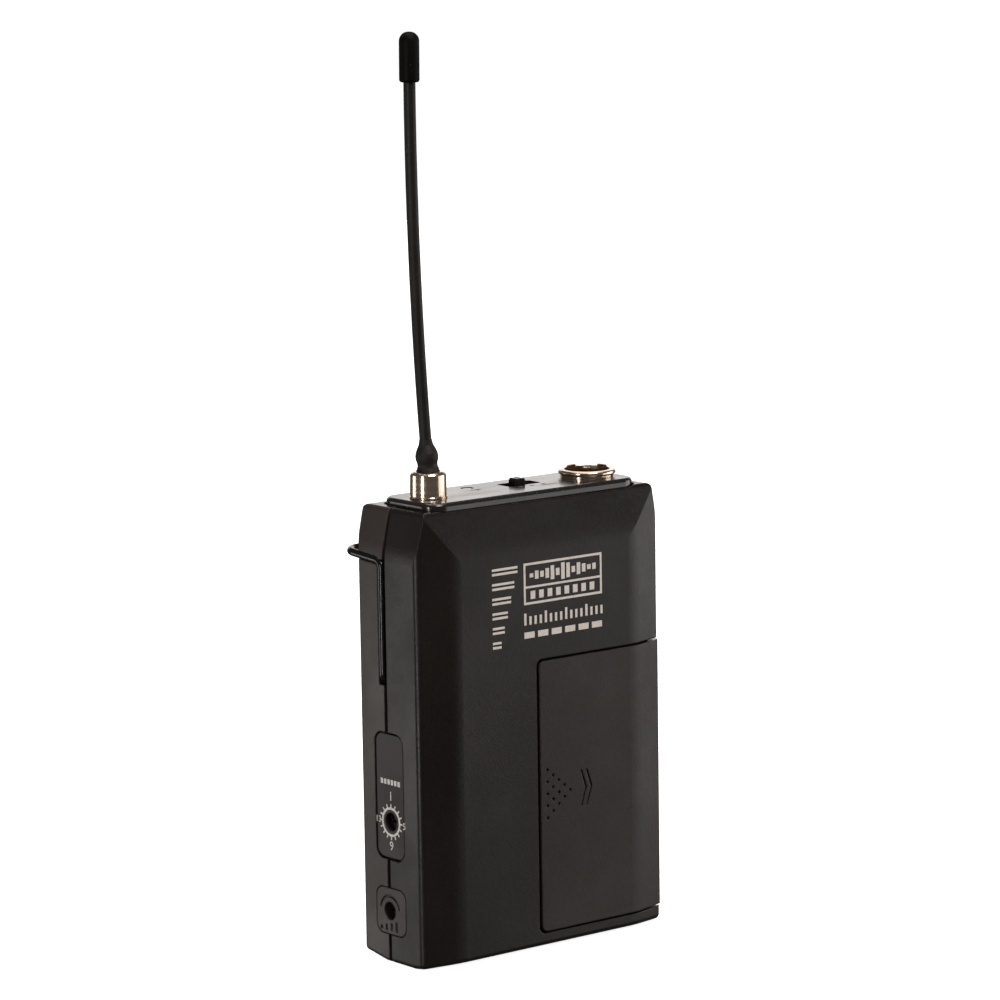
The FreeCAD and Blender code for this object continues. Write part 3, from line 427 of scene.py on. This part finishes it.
def front_print(ink):
    """Plain marks on the front: a rising stack of double lines, a framed wave, two rows."""
    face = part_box("front_shell")[0].y
    marks = Print("front_print", lambda u, v, h: Vector((u * MM, face - h * MM, v * MM)))
    for k in range(6):
        reach, z = 2.3 + 0.9 * k, 66.1 + 3.08 * k       # each pair is longer than the one below
        marks.bar(-14.6, -14.6 + reach, z, z + 0.5)
        marks.bar(-14.6, -14.6 + reach, z + 0.95, z + 1.45)
    marks.frame(-6.15, 15.1, 74.4, 83.2, 0.5)
    marks.bar(-5.65, 14.6, 77.85, 78.3)
    for k in range(13):
        tall = 3.9 * (0.35 + 0.65 * abs(sin(k * 1.13 + 0.5))) * (1 - abs(k - 6) / 9)
        u = 4.475 + (k - 6) * 1.42
        marks.bar(u - 0.48, u + 0.48, 80.5 - tall / 2, 80.5 + tall / 2)
    for k in range(8):
        marks.bar(-4.35 + 2.3 * k, -3.1 + 2.3 * k, 75.5, 77.2)
    for k in range(16):
        marks.bar(-6.15 + 1.385 * k, -5.55 + 1.385 * k, 70.1, 72.6 if k % 4 == 0 else 71.9)
    for k in range(6):
        marks.bar(-6.15 + 3.68 * k, -3.4 + 3.68 * k, 67.3, 68.6)
    marks.done("case", ink)


def label_print(ink):
    """The channel dial on the side label: caption dashes, ring, sixteen ticks and four numbers."""
    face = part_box("channel_label")[0].x
    marks = Print("label_print", lambda u, v, h: Vector((face - h * MM, -u * MM, v * MM)))
    y, z = -DIAL_Y, DIAL_Z
    for k in range(6):
        marks.bar(-4.5 + 1.14 * k, -3.72 + 1.14 * k, 38.2, 39.3)
    marks.ring(y, z, 2.62, 3.12)
    marks.ticks(y, z, 3.13, 3.85, 16, 0.34)
    out = DIAL_NUMBERS_OUT
    marks.number("1", y, z + out["1"], 2.0)
    marks.number("5", y + out["5"], z - 0.3, 1.5)
    marks.number("9", y, z - out["9"], 2.0)
    marks.number("13", y - out["13"], z, 1.4)
    marks.done("case", ink)


def plate_print(ink):
    """Small plain marks on the top plate, by the lamp and in front of the switch."""
    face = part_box("top_plate")[1].z
    marks = Print("plate_print", lambda u, v, h: Vector((u * MM, v * MM, face + h * MM)))
    marks.bar(-9.6, -6.8, 1.75, 2.1)
    marks.bar(-8.5, -7.9, 1.0, 1.45)
    for k in range(3):
        marks.bar(0.4 + 3.1 * k, 1.5 + 3.1 * k, -1.9, -1.3)
    marks.bar(6.0, 10.2, -2.9, -2.55)
    marks.done("case", ink)


# ---------------------------------------------------------------- light, floor, camera

def area_light(name, place, target, size, power, colour=(1.0, 0.96, 0.93), size_y=None):
    """A soft rectangular light aimed at a point."""
    data = bpy.data.lights.new(name, "AREA")
    data.shape, data.size, data.size_y = "RECTANGLE", size, size_y or size
    data.energy, data.color = power, colour
    light = bpy.data.objects.new(name, data)
    light.location = place
    light.rotation_euler = (Vector(place) - Vector(target)).to_track_quat("Z", "Y").to_euler()
    light.visible_camera = False
    bpy.context.collection.objects.link(light)


def build_stage():
    """A pale round stage: a floor that turns up in a cove to a wall all round."""
    reach, cove, wall, steps = 3.0, 1.2, 3.0, 72
    profile = [(0.4, 0.0), (reach, 0.0)]
    for step in range(1, 13):
        a = pi / 2 * step / 12
        profile.append((reach + cove * sin(a), cove - cove * cos(a)))
    profile.append((reach + cove, cove + wall))
    bm = bmesh.new()
    rows = [[bm.verts.new((r * cos(tau * k / steps), r * sin(tau * k / steps), z))
             for k in range(steps)] for r, z in profile]
    bm.faces.new(rows[0])
    for low, high in zip(rows, rows[1:]):
        for k in range(steps):
            m = (k + 1) % steps
            bm.faces.new((low[k], low[m], high[m], high[k])).smooth = True
    floor = mesh_object("floor", bm)
    floor.visible_glossy = floor.visible_diffuse = floor.visible_shadow = False
    g = Graph("floor_paper", Specular_IOR_Level=0.1, Emission_Color=(1, 1, 1, 1),
              Emission_Strength=FLOOR_GLOW)
    paper = g.mix(g.noise(3.0), rgb(246, 246, 246), rgb(250, 250, 250))
    set_material(floor, g.finish(Base_Color=paper,
                                 Roughness=g.ramp(g.noise(40.0), 0.3, 0.7, 0.7, 0.8)))


def mesh_object(name, bm):
    """A new object from a bmesh."""
    mesh = bpy.data.meshes.new(name)
    bm.to_mesh(mesh)
    bm.free()
    made = bpy.data.objects.new(name, mesh)
    bpy.context.collection.objects.link(made)
    return made


def build_light():
    """A dim warm room and seven soft boxes round the pack."""
    world = bpy.data.worlds.new("studio")
    world.use_nodes = True
    background = world.node_tree.nodes["Background"]
    background.inputs["Color"].default_value = (1.0, 0.97, 0.94, 1)
    background.inputs["Strength"].default_value = ROOM_GLOW
    bpy.context.scene.world = world
    middle = LIGHT_TARGET
    area_light("top_box", (0.1, 0.1, 1.3), middle, 1.1, 9.0)
    area_light("back_box", (1.0, 1.35, 0.35), middle, 1.8, 6.0, size_y=0.9)
    area_light("right_box", (0.92, -0.38, 0.12), middle, 0.6, 2.7)
    area_light("front_low", (0.75, -0.85, -0.12), middle, 0.45, 0.9)
    area_light("front_high", (-0.1, -0.75, 1.0), middle, 0.5, 10.0)
    area_light("left_box", (-0.75, 0.8, -0.2), middle, 0.5, 1.8)
    area_light("edge_strip", (-0.58, -0.15, 0.04), middle, 0.07, 1.2, size_y=0.4)


def build_camera():
    """The camera, from its azimuth, elevation and roll."""
    data = bpy.data.cameras.new("camera")
    data.sensor_width, data.lens = CAM_SENSOR, CAM_LENS
    data.clip_start, data.clip_end = 0.01, 30.0
    camera = bpy.data.objects.new("camera", data)
    bpy.context.collection.objects.link(camera)
    back = Vector((sin(CAM_AZIMUTH) * cos(CAM_ELEVATION), -cos(CAM_AZIMUTH) * cos(CAM_ELEVATION),
                   sin(CAM_ELEVATION)))
    right = (-back).cross(Vector((0, 0, 1))).normalized()
    up = right.cross(-back)
    rolled_right = right * cos(CAM_ROLL) + up * sin(CAM_ROLL)
    rolled_up = up * cos(CAM_ROLL) - right * sin(CAM_ROLL)
    turn = Matrix((rolled_right, rolled_up, back)).transposed().to_4x4()
    camera.matrix_world = Matrix.Translation(CAM_PLACE) @ turn
    bpy.context.scene.camera = camera


# ---------------------------------------------------------------- build

def main():
    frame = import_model()
    dress_frame(frame["nodes"])
    front_print(printing_ink())
    label_print(label_ink())
    plate_print(plate_ink())
    build_stage()
    build_light()
    build_camera()
    bpy.context.scene.view_settings.view_transform = "Standard"


main()
